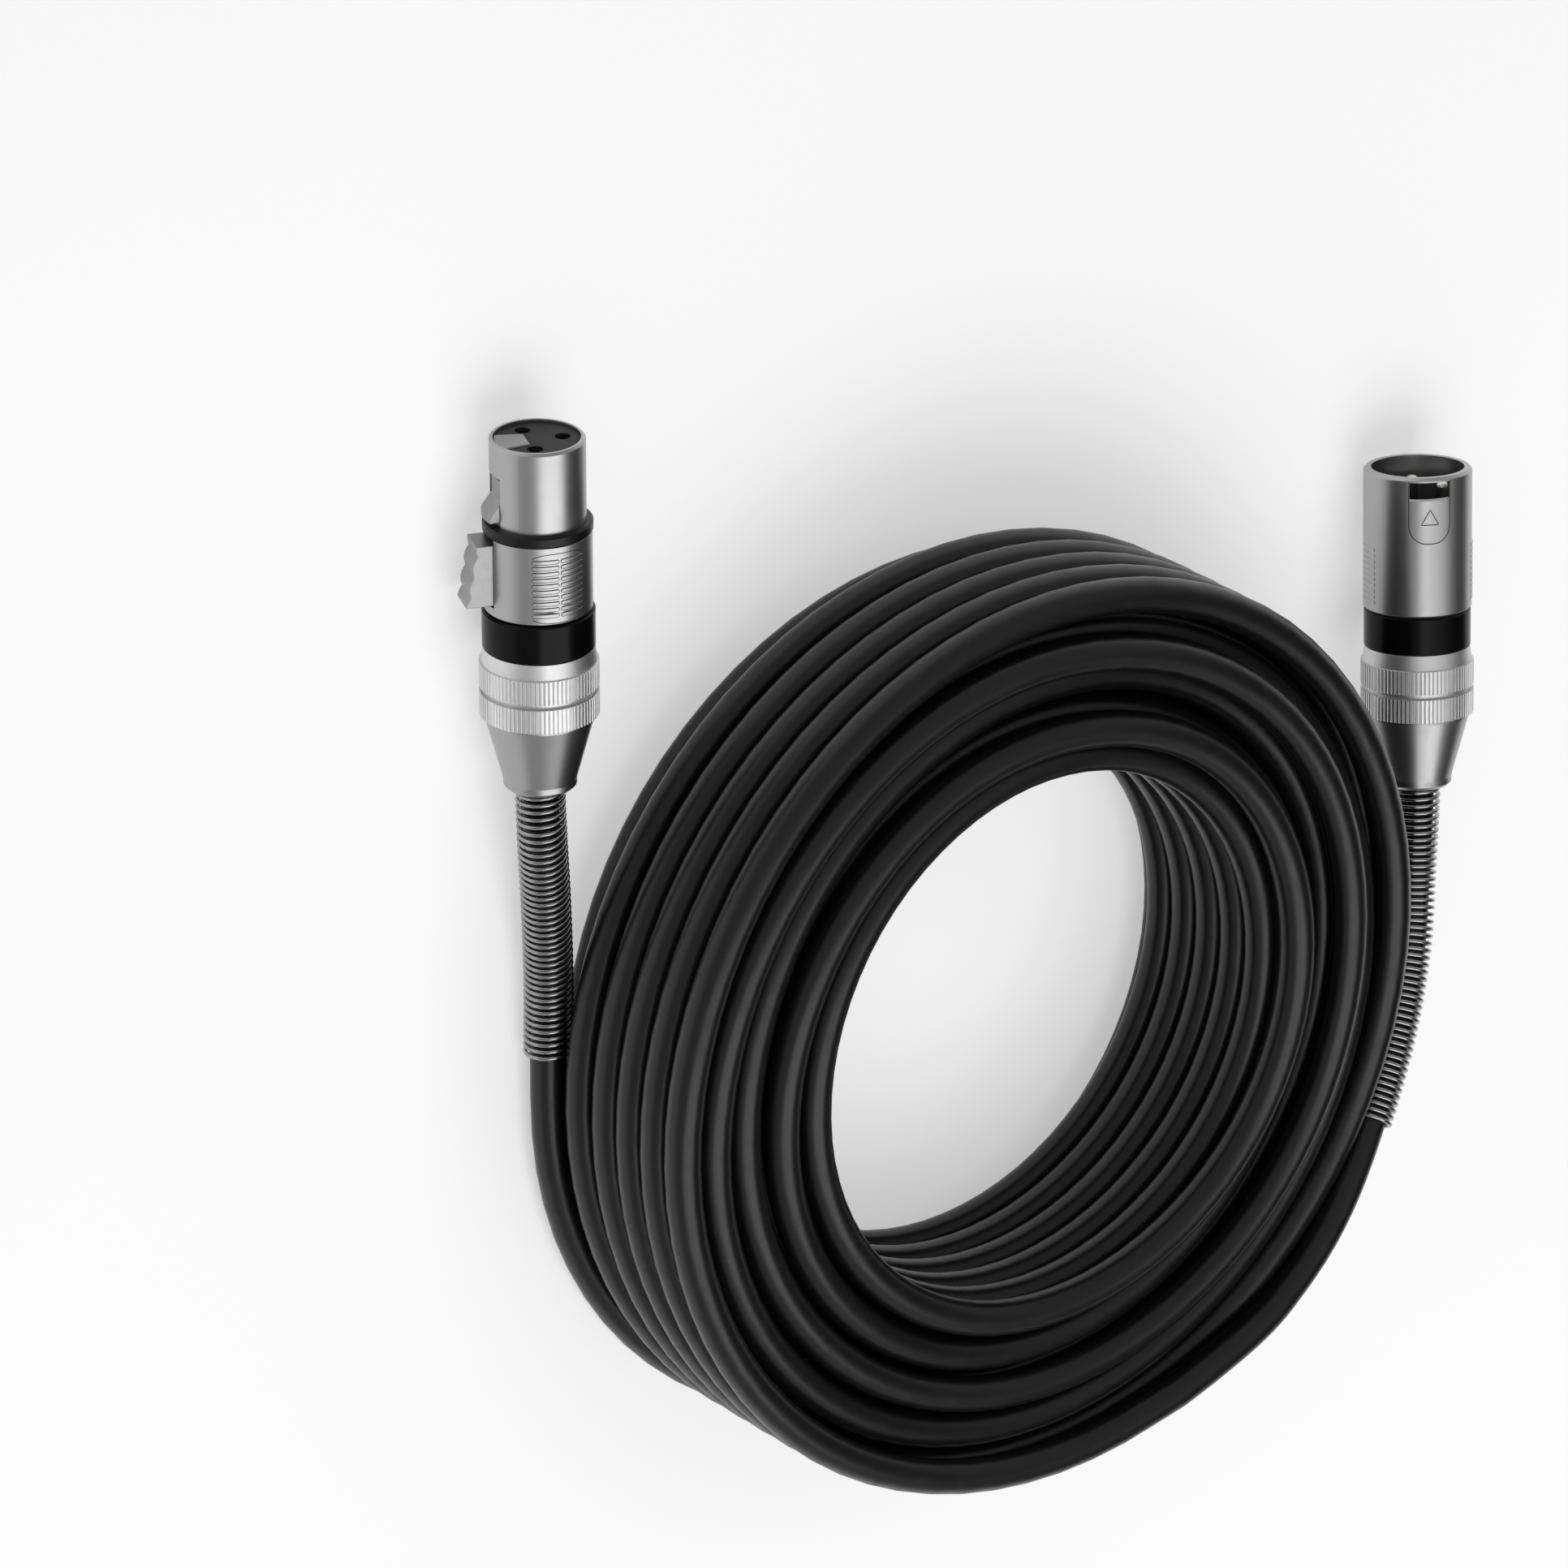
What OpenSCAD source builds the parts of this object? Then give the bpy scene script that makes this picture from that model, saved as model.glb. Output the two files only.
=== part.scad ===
// Microphone cable wound into a flat coil, with a three-pole socket connector on one
// end and a three-pole plug connector on the other. It lies on its back face, +Z up,
// with both connectors beside the coil and pointing along +Y.

/* [Cable] */
// Outer diameter of the cable
cable_d = 6.2; // [5.6:0.1:6.8]
// Clear gap between strands that lie on each other
strand_gap = 0.42; // [0.42:0.01:0.8]
// Clear gap between strands that lie beside each other
column_gap = 0.9; // [0.8:0.05:1.2]
// Radius of the coil along its outermost strand
coil_r = 78.8; // [76:0.2:90]

/* [Strain-relief springs] */
// Diameter of the spring wire
wire_d = 0.75; // [0.6:0.05:0.8]
// Distance from one curl to the next
curl_pitch = 1.25; // [1.2:0.01:1.35]
// Clear gap between the cable and the spring
spring_gap = 0.4; // [0.3:0.05:0.6]
// Curls on the socket end
socket_curls = 43; // [20:1:43]
// Curls on the plug end
plug_curls = 50; // [20:1:50]

/* [Boots and collars] */
// Radius of the knurled rings
knurl_r = 9.9; // [9.7:0.1:10.6]
// Width of one knurled ring
knurl_w = 4.2; // [3:0.1:6]
// Teeth round one knurled ring
knurl_teeth = 84; // [60:1:100]
// Depth of the knurling
knurl_depth = 0.25; // [0.15:0.05:0.35]
// Length of the boot's cone
cone_len = 13.3; // [12.5:0.1:18]
// Radius of the cone at its small end
cone_end_r = 6.1; // [5.9:0.1:6.4]
// Radius of the cone at the knurled ring
cone_top_r = 9.1; // [9:0.1:9.6]
// Groove between the two knurled rings
groove_w = 0.9; // [0.5:0.1:1.5]
// Length of the collar's chamfer
chamfer_w = 2.7; // [1.5:0.1:4]
// How far a boot unscrews
unscrew_travel = 5; // [2:0.5:5]

/* [Code rings] */
// Outer radius of the coloured ring
band_r = 9.35; // [9.2:0.05:9.7]
// Width of the coloured ring
band_w = 6.7; // [5:0.1:9]

/* [Socket connector] */
// Outer radius of the socket's body
socket_body_r = 8.95; // [8.8:0.05:9.2]
// Length of the socket's body
socket_body_len = 13.8; // [13.5:0.1:18]
// Radius of the barrel that enters a plug's shell
barrel_r = 8; // [7.9:0.05:8.1]
// Length of the barrel
barrel_len = 14.3; // [13.8:0.1:16]
// Wall of the barrel
barrel_wall = 0.8; // [0.6:0.05:0.9]
// Outer radius of the rubber ring
gasket_r = 9.1; // [9:0.05:9.6]
// Width of the rubber ring
gasket_w = 1.9; // [1:0.1:2.5]
// Width of the latch lever
latch_w = 6; // [5:0.1:6.4]
// Distance from the axis to the top of the thumb tab
tab_r = 12.9; // [11.5:0.1:13.2]
// How far the latch lever turns
latch_angle = 4; // [2:0.5:4]

/* [Plug connector] */
// Wall of the plug's shell
shell_wall = 1.35; // [1.15:0.05:1.65]
// Length of the plug's shell
shell_len = 25.2; // [24:0.1:30]
// Clearance between the shell's bore and a socket's barrel
mating_gap = 0.15; // [0.1:0.05:0.3]
// Depth of the mouth in front of the insert
mouth_depth = 15.5; // [15:0.1:17]
// Width of the latch window
window_w = 7.1; // [6.5:0.1:8]
// Height of the latch window
window_h = 3.2; // [2.5:0.1:4]
// Angle at which the plug points down to rest on its rim
plug_tilt = 7.5; // [6:0.5:9]
// Angle at which the plug points away from the coil
plug_yaw = 5; // [0:0.5:8]

/* [Contacts] */
// Radius of a contact pin
pin_r = 1.18; // [1.1:0.01:1.25]
// Length of a pin in front of the insert
pin_len = 12.9; // [11:0.1:14]
// Radius of the circle on which the contacts stand
pin_circle_r = 4.35; // [4.2:0.05:4.5]
// Clearance between a pin and a socket contact
contact_gap = 0.04; // [0.02:0.01:0.08]
// Wall of a socket contact
contact_wall = 0.5; // [0.4:0.05:0.55]

/* [Hidden] */
$fn = 72;

// Clearances: parts of one body, turning or sliding fits, and parts that stay apart.
seat_gap = 0.05;
running_gap = 0.06;
free_gap = 0.35;

cable_r = cable_d / 2;
spring_mean_r = cable_r + spring_gap + wire_d / 2;
spring_r = spring_mean_r + wire_d / 2;

// Stations along a connector, from the rear end of its boot.
knurl_z = cone_len;
collar_z = knurl_z + knurl_w;
band_z = collar_z + groove_w + knurl_w + chamfer_w;
body_z = band_z + band_w;
gasket_z = body_z + socket_body_len;
barrel_z = gasket_z + gasket_w;
socket_end_z = barrel_z + barrel_len;
plug_end_z = body_z + shell_len;

// The threaded spigot at the rear of either shell, and what sits in the boot.
spigot_r = 7.3;
spigot_bore_r = 6.3;
spigot_z = collar_z - unscrew_travel - 0.5;
spigot_root = 1.6;
boot_exit_r = spring_r + free_gap;
boot_seat_z = 6;
boot_cavity_r = spigot_bore_r;
clamp_r = 5.9;
clamp_z = boot_seat_z + 0.3;
clamp_len = 9.7;
clamp_bore_r = cable_r + free_gap;
clamp_slot_w = 1.2;
spring_z = 1;
cable_end_z = 20;

// Latch lever, seen along the socket: its bar, thumb tab, hook and pivot.
latch_side_gap = 0.3;
latch_bar_r = 5.9;
latch_bar_top_r = 7.4;
latch_z = body_z + 2.2;
latch_pivot_r = 6.9;
latch_pivot_z = latch_z + 1.2;
latch_pin_r = 0.6;
latch_pin_reach = 4.5;
tab_len = gasket_z - latch_z - 1;
tab_lean = 1.8;
scallops = 3;
scallop_depth = 0.5;
hook_r = 9.2;
hook_z = barrel_z + 1;
hook_tip = 0.9;
hook_len = 3.6;
latch_end_z = hook_z + hook_len + 3.6;
latch_slot_end_z = latch_end_z + 0.5;
latch_channel_r = latch_bar_r - (latch_end_z - latch_pivot_z) * sin(latch_angle) - free_gap;

// The barrel's face round the latch lies a little lower.
barrel_step = 0.15;
barrel_step_angle = 52;

// One knurl tooth, a flat top and a groove: shares of its pitch and of its depth.
knurl_tooth = [[0, 0], [0.55, 0], [0.775, 1]];

// Ribs for the fingers.
grip_ribs = 10;
grip_rib_w = 0.55;
grip_rib_h = 0.12;
grip_rib_arc = 28;
grip_pitch = 1.05;
socket_grip_angle = 99;
socket_grip_gap_arc = 3;
socket_grip_z = body_z + (socket_body_len - grip_ribs * grip_pitch) / 2;
plug_grip_angle = 79;
plug_grip_z = body_z + 1.8;

// Inserts and contacts.
contact_angles = [72, 180, 288];
contact_bore_r = pin_r + contact_gap;
pin_shank_r = pin_r - 0.2;
pin_tip_r = 0.9;
contact_r = contact_bore_r + contact_wall;
socket_bore_r = barrel_r - barrel_wall;
socket_insert_set = 6;
gasket_seat_r = socket_bore_r + 0.5;
socket_insert_r = socket_bore_r - seat_gap;
socket_insert_z = body_z + socket_insert_set;
socket_face_z = socket_end_z - 0.5;
contact_face_z = socket_face_z - 0.7;
contact_rear_z = socket_insert_z - 3;
plug_bore_r = barrel_r + mating_gap;
shell_r = plug_bore_r + shell_wall;
plug_insert_r = plug_bore_r - seat_gap;
plug_face_z = plug_end_z - mouth_depth;
plug_insert_z = body_z + 0.5;
pin_rear_z = plug_insert_z - 2.5;
window_z = plug_end_z - 0.8 - window_h;
wire_core_r = 0.75;
wire_spread = 1.6;

// Where the connectors lie round the coil's centre, and how they are turned.
socket_aside = 6.2;
plug_aside = 22.2;
socket_x = -(coil_r + socket_aside);
socket_y = 60.5;
socket_roll = 158;
plug_x = coil_r + plug_aside;
plug_y = 11.5;
plug_z = shell_r * cos(plug_tilt) + plug_end_z * sin(plug_tilt);
plug_roll = -118;
plug_way = [
    sin(plug_yaw) * cos(plug_tilt), cos(plug_yaw) * cos(plug_tilt), -sin(plug_tilt)
];

// The origin stands on the floor under the middle of the whole set.
left_x = socket_x - tab_r * cos(180 - socket_roll) - latch_w / 2 * sin(180 - socket_roll);
right_x = plug_x + (plug_end_z - 0.5) * plug_way[0] + shell_r * norm([plug_way[1], plug_way[2]]);
back_y = socket_y + socket_end_z;
front_y = -(coil_r + cable_r);
origin_shift = [-(left_x + right_x) / 2, -(front_y + back_y) / 2, 0];

// Winding plan: turns made, column counted inward and level counted upward. It spirals
// in over the floor, climbs the inner wall, spirals out over the top, where it sinks to
// the cover level, dives inside the outer wall and climbs that wall to leave at the top.
level_step = cable_d + strand_gap;
column_step = cable_d + column_gap;
cover_level = 4.72;
winding = [
    [0, -0.2, 0.3], [0.08, -0.12, 0], [0.5, 0.38, 0], [1, 0.96, 0],
    [3.45, 3.33, 0], [3.9, 3.95, 0], [4, 4, 0.05], [4.3, 4, 0.7],
    [9.3, 4, 5.7], [9.5, 3.8, 6], [9.68, 3.2, 5.95], [9.8, 3, 5.68],
    [10.6, 3, 4.75], [10.85, 2.45, cover_level], [11, 2, 5], [11.6, 2, 5.75],
    [11.8, 1.5, 5.75], [12, 1, 5.5], [12.75, 1, 4.75], [14.2, 1, 1],
    [14.5, 0.05, 1.03], [15, 0, 1.46], [15.4, 0, 1.99], [19.3, 0, 5.91],
];
strand_sides = 6;
strand_rings = 21;
strand_z = cable_r * cos(180 / strand_sides);
winding_rings = floor(winding[len(winding) - 1][0] * strand_rings);

column_plan = [for (row = winding) [row[0], row[1]]];
level_plan = [for (row = winding) [row[0], row[2]]];

function coil_point(turn) =
    let (r = coil_r - column_step * lookup(turn, column_plan), a = 180 + 360 * turn)
    [r * cos(a), r * sin(a), strand_z + level_step * lookup(turn, level_plan)];

function unit(v) = v / norm(v);

// The strands, with one straight cable diameter at either end.
coil_turns = [for (i = [0 : winding_rings]) coil_point(i / strand_rings)];
coil_start_way = [0, 1, 0];
coil_end_way = unit(concat([for (k = [0, 1]) (coil_turns[winding_rings]
    - coil_turns[winding_rings - 1])[k]], [0]));
coil_start = coil_turns[0] + cable_d * coil_start_way;
coil_end = coil_turns[winding_rings] + cable_d * coil_end_way;
coil_path = concat([coil_start], coil_turns, [coil_end]);

strand_clearance = min([
    for (i = [0 : winding_rings], j = [i + strand_rings - 1 : strand_rings : winding_rings],
        k = [0 : 2])
        if (j + k <= winding_rings) norm(coil_turns[i] - coil_turns[j + k])
]) - cable_d;
echo(strand_clearance = strand_clearance);

// Routes of the free tails: from the coil to the rear of each connector. A point has its
// angle round the coil, its distance outside the coil's outermost strand and its height.
socket_tail_plan = [[164.7, 4.7, 5.6], [155.3, 12.1, 7.8], [148.9, 20, 9.7]];
plug_tail_plan = [
    [-61.7, 3.1, 41.3], [-49.9, 5.2, 39.2], [-37.1, 7.1, 36.6], [-22.2, 10.6, 30.5],
    [-11.5, 14.7, 24.5], [-2.3, 18.5, 19.7],
];
function round_points(plan) = [for (p = plan) [
    (coil_r + p[1]) * cos(p[0]), (coil_r + p[1]) * sin(p[0]), p[2]]];
socket_tail_points = round_points(socket_tail_plan);
plug_tail_points = round_points(plug_tail_plan);
socket_end = [socket_x, socket_y, knurl_r];
plug_end = [plug_x, plug_y, plug_z];

// A smooth curve through points; the first and last only steer its ends.
function leg(a, b, c, d, s) = 0.5 * (2 * b + s * (c - a) + s * s * (2 * a - 5 * b + 4 * c - d)
    + s * s * s * (3 * b - a - 3 * c + d));

function smooth(points, rings) = concat(
    [for (i = [1 : len(points) - 3], k = [0 : rings - 1])
        leg(points[i - 1], points[i], points[i + 1], points[i + 2], k / rings)],
    [points[len(points) - 2]]);

function tail_route(start, start_way, points, end, way, rings) = smooth(concat(
    [start - 2 * cable_d * start_way, start], points,
    [end, end + cable_end_z * way, end + 2 * cable_end_z * way]), rings);

function socket_route(rings) = tail_route(coil_start, coil_start_way, socket_tail_points,
    socket_end, [0, 1, 0], rings);

function plug_route(rings) = tail_route(coil_end, coil_end_way, plug_tail_points,
    plug_end, plug_way, rings);

tail_rings = 3;
tail_sides = 10;
socket_tail_path = socket_route(tail_rings);
plug_tail_path = plug_route(tail_rings);

// Springs: a wire round each tail, from inside the boot back towards the coil.
curl_rings = 7;
wire_sides = 3;

function path_length(path) =
    [for (i = 0, sum = 0; i < len(path); i = i + 1,
        sum = sum + (i < len(path) ? norm(path[i] - path[i - 1]) : 0)) sum];

function along(path, lengths, s) =
    [for (k = [0 : 2]) lookup(s, [for (i = [0 : len(path) - 1]) [lengths[i], path[i][k]]])];

function spring_frame(path, lengths, s) =
    let (way = unit(along(path, lengths, s + 1) - along(path, lengths, s - 1)),
        side = unit(cross(way, [0, 0, 1])))
    [side, cross(side, way)];

function spring_start(lengths) = lengths[len(lengths) - 1] - cable_end_z + spring_z;

function spring_points(path, curls) =
    let (lengths = path_length(path), start = spring_start(lengths))
    [for (i = [0 : curls * curl_rings])
        let (s = start - i * curl_pitch / curl_rings, a = 360 * i / curl_rings,
            axes = spring_frame(path, lengths, s), out = cos(a) * axes[0] + sin(a) * axes[1])
        [along(path, lengths, s) + spring_mean_r * out, out]];

function curl_clearance(points) =
    min([for (i = [0 : len(points) - 1 - curl_rings])
        norm(points[i][0] - points[i + curl_rings][0])]) - wire_d * sin(120);

spring_route_rings = 16;
socket_spring_points = spring_points(socket_route(spring_route_rings), socket_curls);
plug_spring_points = spring_points(plug_route(spring_route_rings), plug_curls);
echo(socket_spring_clearance = curl_clearance(socket_spring_points));
echo(plug_spring_clearance = curl_clearance(plug_spring_points));

// Directions of a path at each of its points.
function path_ways(path) =
    [for (i = [0 : len(path) - 1])
        unit(path[min(i + 1, len(path) - 1)] - path[max(i - 1, 0)])];

function level_normals(path) = [for (way = path_ways(path)) unit(cross(way, [0, 0, 1]))];

// A closed tube of triangles along a path; each ring's first corner follows its normal.
module tube(path, normals, r, sides) {
    ways = path_ways(path);
    last = len(path) - 1;
    corners = [
        for (i = [0 : last])
            let (way = ways[i], side = unit(normals[i] - (normals[i] * way) * way),
                up = cross(side, way))
            for (k = [0 : sides - 1])
                path[i] + r * (cos(360 * k / sides) * side + sin(360 * k / sides) * up)
    ];
    walls = [
        for (i = [0 : last - 1], k = [0 : sides - 1])
            let (a = i * sides + k, b = i * sides + (k + 1) % sides)
            each [[a, a + sides, b], [b, a + sides, b + sides]]
    ];
    start_cap = [for (k = [1 : sides - 2]) [0, k, k + 1]];
    end_cap = [for (k = [1 : sides - 2]) last * sides * [1, 1, 1] + [0, k + 1, k]];
    polyhedron(corners, concat(walls, start_cap, end_cap));
}

// A connector's own frame: z runs from the boot's rear end to the mouth.
module socket_frame() {
    translate(origin_shift + socket_end)
        rotate([-90, 0, 0])
            rotate([0, 0, socket_roll])
                children();
}

module plug_frame() {
    translate(origin_shift + plug_end)
        rotate([0, 0, -plug_yaw])
            rotate([-90 - plug_tilt, 0, 0])
                rotate([0, 0, plug_roll])
                    children();
}

module bore(r, z0, z1) {
    translate([0, 0, z0])
        cylinder(r = r, h = z1 - z0);
}

module knurled_ring(z, bore_r) {
    translate([0, 0, z])
        linear_extrude(knurl_w)
            difference() {
                polygon([
                    for (i = [0 : knurl_teeth - 1], corner = knurl_tooth)
                        let (a = 360 * (i + corner[0]) / knurl_teeth,
                            r = knurl_r - corner[1] * knurl_depth)
                        [r * cos(a), r * sin(a)]
                ]);
                circle(bore_r);
            }
}

module cable_coil() {
    color([0.14, 0.14, 0.15])
        translate(origin_shift)
            tube(coil_path, level_normals(coil_path), cable_r, strand_sides);
}

// The strands inside the outer layers, as one plain ring.
module coil_core() {
    inner = coil_r - 4 * column_step + cable_r + free_gap;
    outer = (coil_r - column_step) * cos(180 / strand_rings) - cable_r - free_gap;
    low = strand_z + cable_r + free_gap;
    high = strand_z + level_step * cover_level - cable_r - free_gap;
    corner = 2;
    color([0.12, 0.12, 0.13])
        translate(origin_shift)
            rotate_extrude()
                polygon([
                    [inner + corner, low], [outer - corner, low], [outer, low + corner],
                    [outer, high - corner], [outer - corner, high], [inner + corner, high],
                    [inner, high - corner], [inner, low + corner],
                ]);
}

module socket_tail() {
    color([0.14, 0.14, 0.15])
        translate(origin_shift)
            tube(socket_tail_path, level_normals(socket_tail_path), cable_r, tail_sides);
}

module plug_tail() {
    color([0.14, 0.14, 0.15])
        translate(origin_shift)
            tube(plug_tail_path, level_normals(plug_tail_path), cable_r, tail_sides);
}

module spring(points) {
    color([0.75, 0.76, 0.78])
        translate(origin_shift)
            tube([for (p = points) p[0]], [for (p = points) p[1]], wire_d / 2, wire_sides);
}

module socket_spring() {
    spring(socket_spring_points);
}

module plug_spring() {
    spring(plug_spring_points);
}

// Threaded boot: cone, knurled ring, cable exit and the cavity over the spigot.
module boot() {
    color([0.7, 0.71, 0.73])
        difference() {
            union() {
                rotate_extrude()
                    polygon([
                        [0, 0], [cone_end_r - 0.6, 0], [cone_end_r, 0.6],
                        [cone_end_r, 1.6], [cone_top_r, knurl_z - 0.6],
                        [cone_top_r, collar_z], [0, collar_z],
                    ]);
                knurled_ring(knurl_z, cone_top_r - 0.5);
            }
            bore(boot_exit_r, -1, boot_seat_z + 1);
            bore(boot_cavity_r, boot_seat_z, collar_z + 1);
            bore(spigot_r + running_gap, spigot_z - 0.3, collar_z + 1);
        }
}

// Split clamp that grips the cable inside the boot.
module clamp() {
    color([0.9, 0.9, 0.88])
        difference() {
            bore(clamp_r, clamp_z, clamp_z + clamp_len);
            bore(clamp_bore_r, clamp_z - 1, clamp_z + clamp_len + 1);
            for (a = [0, 90])
                rotate([0, 0, a])
                    translate([-clamp_r - 1, -clamp_slot_w / 2, clamp_z + 2.5])
                        cube([2 * clamp_r + 2, clamp_slot_w, clamp_len]);
        }
}

// Collar between the boot and the coloured ring.
module collar() {
    color([0.74, 0.75, 0.77])
        difference() {
            union() {
                bore(cone_top_r + 0.1, collar_z, collar_z + groove_w + knurl_w);
                knurled_ring(collar_z + groove_w, cone_top_r - 0.5);
                translate([0, 0, collar_z + groove_w + knurl_w])
                    cylinder(r1 = knurl_r - knurl_depth - 0.1, r2 = band_r - 0.1, h = chamfer_w);
            }
            bore(spigot_r + seat_gap, collar_z - 1, band_z + 1);
        }
}

module code_ring() {
    edge = 0.25;
    color([0.03, 0.03, 0.03])
        rotate_extrude()
            polygon([
                [spigot_r + seat_gap, band_z], [band_r - edge, band_z],
                [band_r, band_z + edge], [band_r, body_z - edge],
                [band_r - edge, body_z], [spigot_r + seat_gap, body_z],
            ]);
}

// Finger ribs: one arc of them, centred on the frame's x axis.
module grip(r, z) {
    sunk = 0.2;
    for (i = [0 : grip_ribs - 1])
        translate([0, 0, z + i * grip_pitch])
            rotate([0, 0, -grip_rib_arc / 2])
                rotate_extrude(angle = grip_rib_arc)
                    translate([r - sunk, 0])
                        square([sunk + grip_rib_h, grip_rib_w]);
}

module socket_shell() {
    edge = 0.4;
    slot_w = latch_w + 2 * latch_side_gap;
    color([0.75, 0.76, 0.78])
        difference() {
            union() {
                rotate_extrude()
                    polygon([
                        [spigot_bore_r, spigot_z], [spigot_r, spigot_z], [spigot_r, body_z],
                        [socket_body_r - edge, body_z], [socket_body_r, body_z + edge],
                        [socket_body_r, gasket_z], [gasket_seat_r, gasket_z],
                        [gasket_seat_r, barrel_z], [barrel_r, barrel_z],
                        [barrel_r, socket_end_z - edge], [barrel_r - edge, socket_end_z],
                        [socket_bore_r, socket_end_z], [socket_bore_r, body_z + spigot_root],
                        [spigot_bore_r, body_z + spigot_root - 0.9],
                    ]);
                for (side = [-1, 1], half = [-1, 1])
                    rotate([0, 0, side * socket_grip_angle
                        + half * (grip_rib_arc + socket_grip_gap_arc) / 2])
                        grip(socket_body_r, socket_grip_z);
            }
            translate([latch_channel_r, -slot_w / 2, latch_z - 0.4])
                cube([tab_r, slot_w, latch_slot_end_z - latch_z + 0.4]);
            translate([0, 0, barrel_z])
                rotate([0, 0, -barrel_step_angle])
                    rotate_extrude(angle = 2 * barrel_step_angle)
                        translate([barrel_r - barrel_step, 0])
                            square([1, barrel_len + 1]);
            translate([latch_pivot_r, -latch_pin_reach, latch_pivot_z])
                rotate([-90, 0, 0])
                    cylinder(r = latch_pin_r + 0.02, h = 2 * latch_pin_reach, $fn = 24);
        }
}

module socket_gasket() {
    bore_r = gasket_seat_r + seat_gap;
    edge = 0.3;
    color([0.03, 0.03, 0.03])
        rotate_extrude()
            polygon([
                [bore_r, gasket_z], [gasket_r - edge, gasket_z], [gasket_r, gasket_z + edge],
                [gasket_r, barrel_z - edge], [gasket_r - edge, barrel_z], [bore_r, barrel_z],
            ]);
}

module socket_insert() {
    channel_w = latch_w + 2 * latch_side_gap;
    color([0.04, 0.04, 0.05])
        difference() {
            bore(socket_insert_r, socket_insert_z, socket_face_z);
            translate([latch_channel_r, -channel_w / 2, socket_insert_z - 1])
                cube([socket_insert_r, channel_w, latch_slot_end_z - socket_insert_z + 1]);
            for (a = contact_angles)
                rotate([0, 0, a])
                    translate([pin_circle_r, 0, 0]) {
                        bore(contact_r + 0.02, socket_insert_z - 1, contact_face_z);
                        bore(contact_bore_r + 0.1, socket_insert_z, socket_face_z + 1);
                    }
        }
}

module socket_contact(a) {
    color([0.85, 0.7, 0.35])
        rotate([0, 0, a])
            translate([pin_circle_r, 0, 0])
                difference() {
                    bore(contact_r, contact_rear_z, contact_face_z);
                    bore(contact_bore_r, contact_rear_z + 3, contact_face_z + 1);
                    bore(wire_core_r + 0.1, contact_rear_z - 1, contact_rear_z + 2);
                }
}

// Latch lever: bar with a scalloped thumb tab at the rear and a hook in front.
module socket_latch() {
    pitch = tab_len / scallops;
    tab_top = [
        for (i = [0 : scallops - 1], step = [0 : 6])
            let (back = i + step / 6)
            [tab_r - tab_lean * (1 - back / scallops) - scallop_depth * (1 - abs(cos(30 * step))),
                latch_z + pitch * (scallops - back)]
    ];
    color([0.72, 0.73, 0.75])
        intersection() {
            translate([0, latch_w / 2, 0])
                rotate([90, 0, 0])
                    linear_extrude(latch_w)
                        difference() {
                            polygon(concat(
                                [[latch_bar_r, latch_z], [latch_bar_r, latch_end_z],
                                    [hook_r + 1, latch_end_z], [hook_r + 1, latch_z + tab_len]],
                                tab_top,
                                [[tab_r - 0.2, latch_z]]));
                            translate([latch_pivot_r, latch_pivot_z])
                                circle(latch_pin_r + running_gap, $fn = 24);
                        }
            latch_round();
        }
}

// What the lever is cut down to: open over the tab, then round bar, hook and bar.
module latch_round() {
    rotate_extrude()
        polygon([
            [0, latch_z - 1], [2 * tab_r, latch_z - 1], [2 * tab_r, latch_z + tab_len - 0.01],
            [latch_bar_top_r, latch_z + tab_len - 0.01], [latch_bar_top_r, hook_z],
            [hook_r, hook_z], [hook_r, hook_z + hook_tip], [latch_bar_top_r, hook_z + hook_len],
            [latch_bar_top_r, latch_end_z + 1], [0, latch_end_z + 1],
        ]);
}

module socket_latch_pin() {
    color([0.6, 0.6, 0.62])
        translate([latch_pivot_r, -latch_pin_reach, latch_pivot_z])
            rotate([-90, 0, 0])
                cylinder(r = latch_pin_r, h = 2 * latch_pin_reach, $fn = 24);
}

// Three insulated wires that fan out from the cable's end to the contacts.
module wires(rear_z) {
    colors = [[0.8, 0.1, 0.1], [0.85, 0.85, 0.85], [0.15, 0.15, 0.15]];
    run = rear_z - cable_end_z;
    fan = pin_circle_r - wire_spread;
    lean = atan2(fan, run);
    lift = wire_core_r * sin(lean) + 0.02;
    for (k = [0 : 2])
        color(colors[k])
            rotate([0, 0, contact_angles[k]])
                translate([wire_spread, 0, cable_end_z + lift])
                    rotate([0, lean, 0])
                        cylinder(r = wire_core_r, h = norm([fan, run]) - lift - 0.3, $fn = 24);
}

module plug_shell() {
    edge = 0.5;
    color([0.75, 0.76, 0.78])
        difference() {
            union() {
                rotate_extrude()
                    polygon([
                        [spigot_bore_r, spigot_z], [spigot_r, spigot_z], [spigot_r, body_z],
                        [shell_r - edge, body_z], [shell_r, body_z + edge],
                        [shell_r, plug_end_z - edge], [shell_r - edge, plug_end_z],
                        [plug_bore_r, plug_end_z], [plug_bore_r, body_z + 0.5],
                        [spigot_bore_r, body_z + 0.5],
                    ]);
                for (side = [-1, 1])
                    rotate([0, 0, side * plug_grip_angle])
                        grip(shell_r, plug_grip_z);
            }
            translate([plug_bore_r - 1, -window_w / 2, window_z])
                cube([shell_r, window_w, window_h]);
        }
}

module plug_insert() {
    color([0.04, 0.04, 0.05])
        difference() {
            bore(plug_insert_r, plug_insert_z, plug_face_z);
            for (a = contact_angles)
                rotate([0, 0, a])
                    translate([pin_circle_r, 0, 0])
                        bore(pin_shank_r + 0.02, plug_insert_z - 1, plug_face_z + 1);
        }
}

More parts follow.
